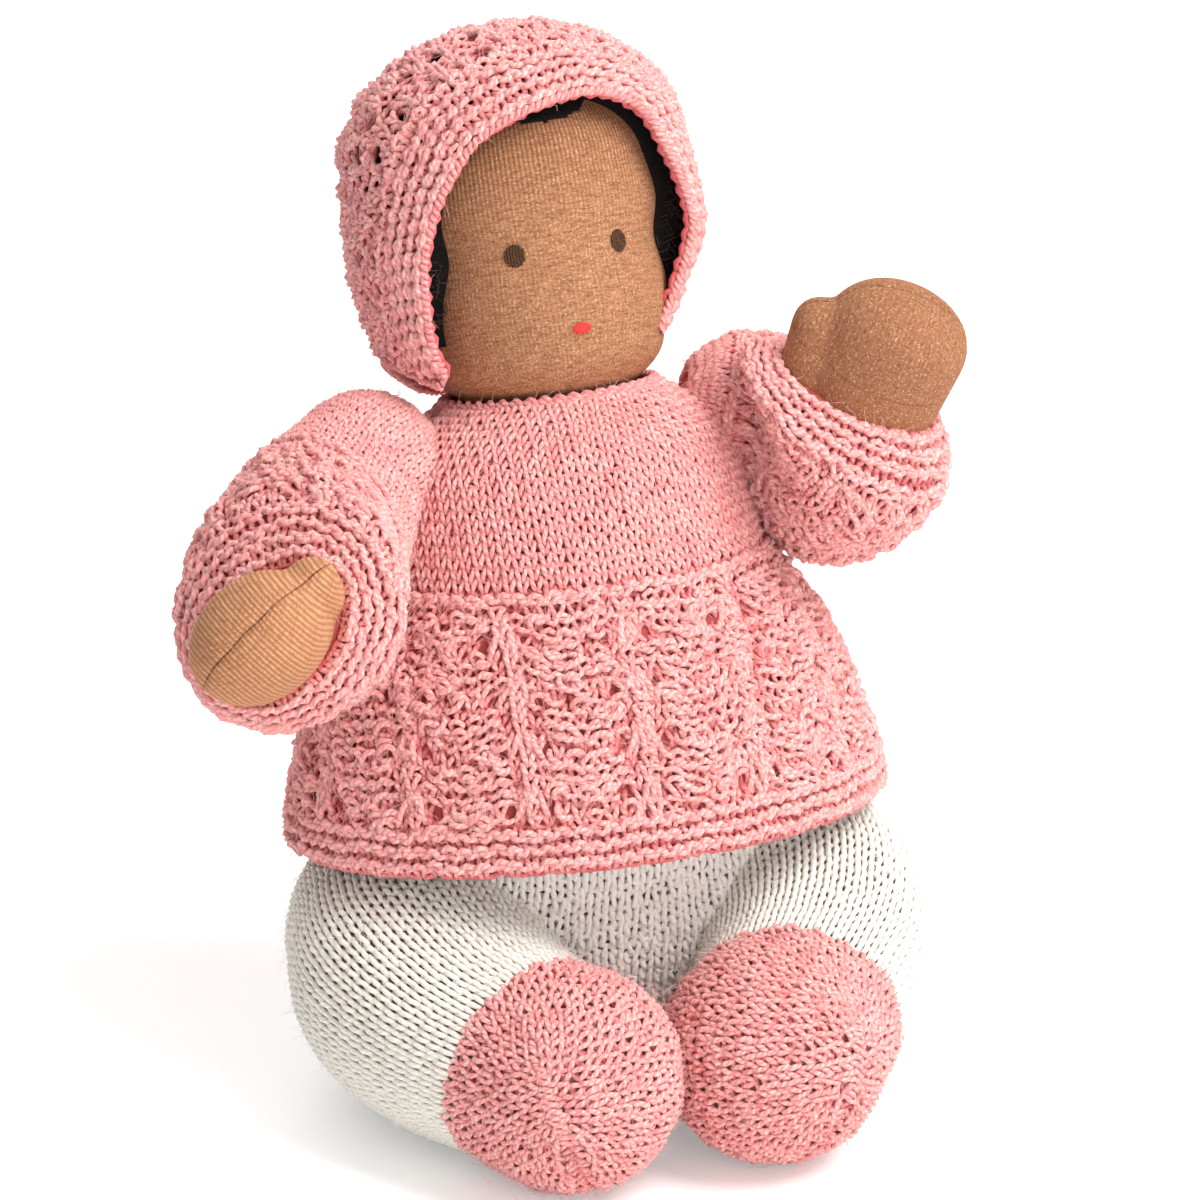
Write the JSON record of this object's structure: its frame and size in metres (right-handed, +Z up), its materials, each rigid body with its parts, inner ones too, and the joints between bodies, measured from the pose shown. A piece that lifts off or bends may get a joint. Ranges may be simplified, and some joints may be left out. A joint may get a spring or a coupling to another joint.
{
  "type": "waldorf doll",
  "caption": "Seated stuffed cloth doll in a knitted bonnet, lace-knit sweater, knitted pants and booties; head, arms and legs turn on sewn joints.",
  "frame": {"origin": "on the flat that the doll sits on, midway between its hips in width and 2 mm behind the hip joints", "axes": "+Z up, -Y the way the doll faces, +X towards its left hand"},
  "size_m": [0.2333, 0.205, 0.2853],
  "materials": {
    "pink_wool": "hand-knit wool yarn",
    "cream_wool": "hand-knit wool yarn",
    "brown_jersey": "fine rib cotton jersey",
    "black_mohair": "brushed mohair yarn",
    "fleece": "carded wool filling",
    "brown_floss": "satin stitch",
    "red_floss": "satin stitch",
    "linen_thread": "waxed thread"
  },
  "bodies": {
    "torso": {"torso_skin": "brown_jersey", "torso_stuffing": "fleece", "pants_seat": "cream_wool", "pants_waistband": "cream_wool", "sweater_hem": "pink_wool", "sweater_skirt": "pink_wool", "sweater_yoke": "pink_wool", "sweater_neckband": "pink_wool"},
    "neck": {"neck_stem": "brown_jersey", "neck_tie": "linen_thread"},
    "head": {"head_skin": "brown_jersey", "head_stuffing": "fleece", "eye_line_thread": "linen_thread", "right_eye": "brown_floss", "left_eye": "brown_floss", "mouth": "red_floss", "hair_cap": "black_mohair", "bonnet_crown": "pink_wool", "bonnet_brim": "pink_wool"},
    "right_arm": {"right_sleeve": "pink_wool", "right_cuff": "pink_wool", "right_arm_skin": "brown_jersey", "right_arm_stuffing": "fleece"},
    "left_arm": {"left_sleeve": "pink_wool", "left_cuff": "pink_wool", "left_arm_skin": "brown_jersey", "left_arm_stuffing": "fleece"},
    "right_leg": {"right_pant_leg": "cream_wool", "right_foot": "pink_wool", "right_leg_skin": "brown_jersey", "right_leg_stuffing": "fleece"},
    "left_leg": {"left_pant_leg": "cream_wool", "left_foot": "pink_wool", "left_leg_skin": "brown_jersey", "left_leg_stuffing": "fleece"}
  },
  "joints": [
    {"name": "neck_nod", "type": "hinge", "parent": "torso", "child": "neck", "pos_m": [0, 0.024, 0.187], "axis": [-1, 0, 0], "range_deg": [-10, 8]},
    {"name": "neck_turn", "type": "hinge", "parent": "neck", "child": "head", "pos_m": [0, 0.024, 0.187], "axis": [0, 0.454, 0.891], "range_deg": [-45, 45]},
    {"name": "right_shoulder", "type": "hinge", "parent": "torso", "child": "right_arm", "pos_m": [-0.051, 0.014, 0.1725], "axis": [-1, 0, 0], "range_deg": [-8, 85]},
    {"name": "left_shoulder", "type": "hinge", "parent": "torso", "child": "left_arm", "pos_m": [0.051, 0.014, 0.1725], "axis": [-1, 0, 0], "range_deg": [-8, 55]},
    {"name": "right_hip", "type": "hinge", "parent": "torso", "child": "right_leg", "pos_m": [-0.047, -0.002, 0.044], "axis": [-1, 0, 0], "range_deg": [-17, 7]},
    {"name": "left_hip", "type": "hinge", "parent": "torso", "child": "left_leg", "pos_m": [0.047, -0.002, 0.044], "axis": [-1, 0, 0], "range_deg": [-17, 7]}
  ]
}
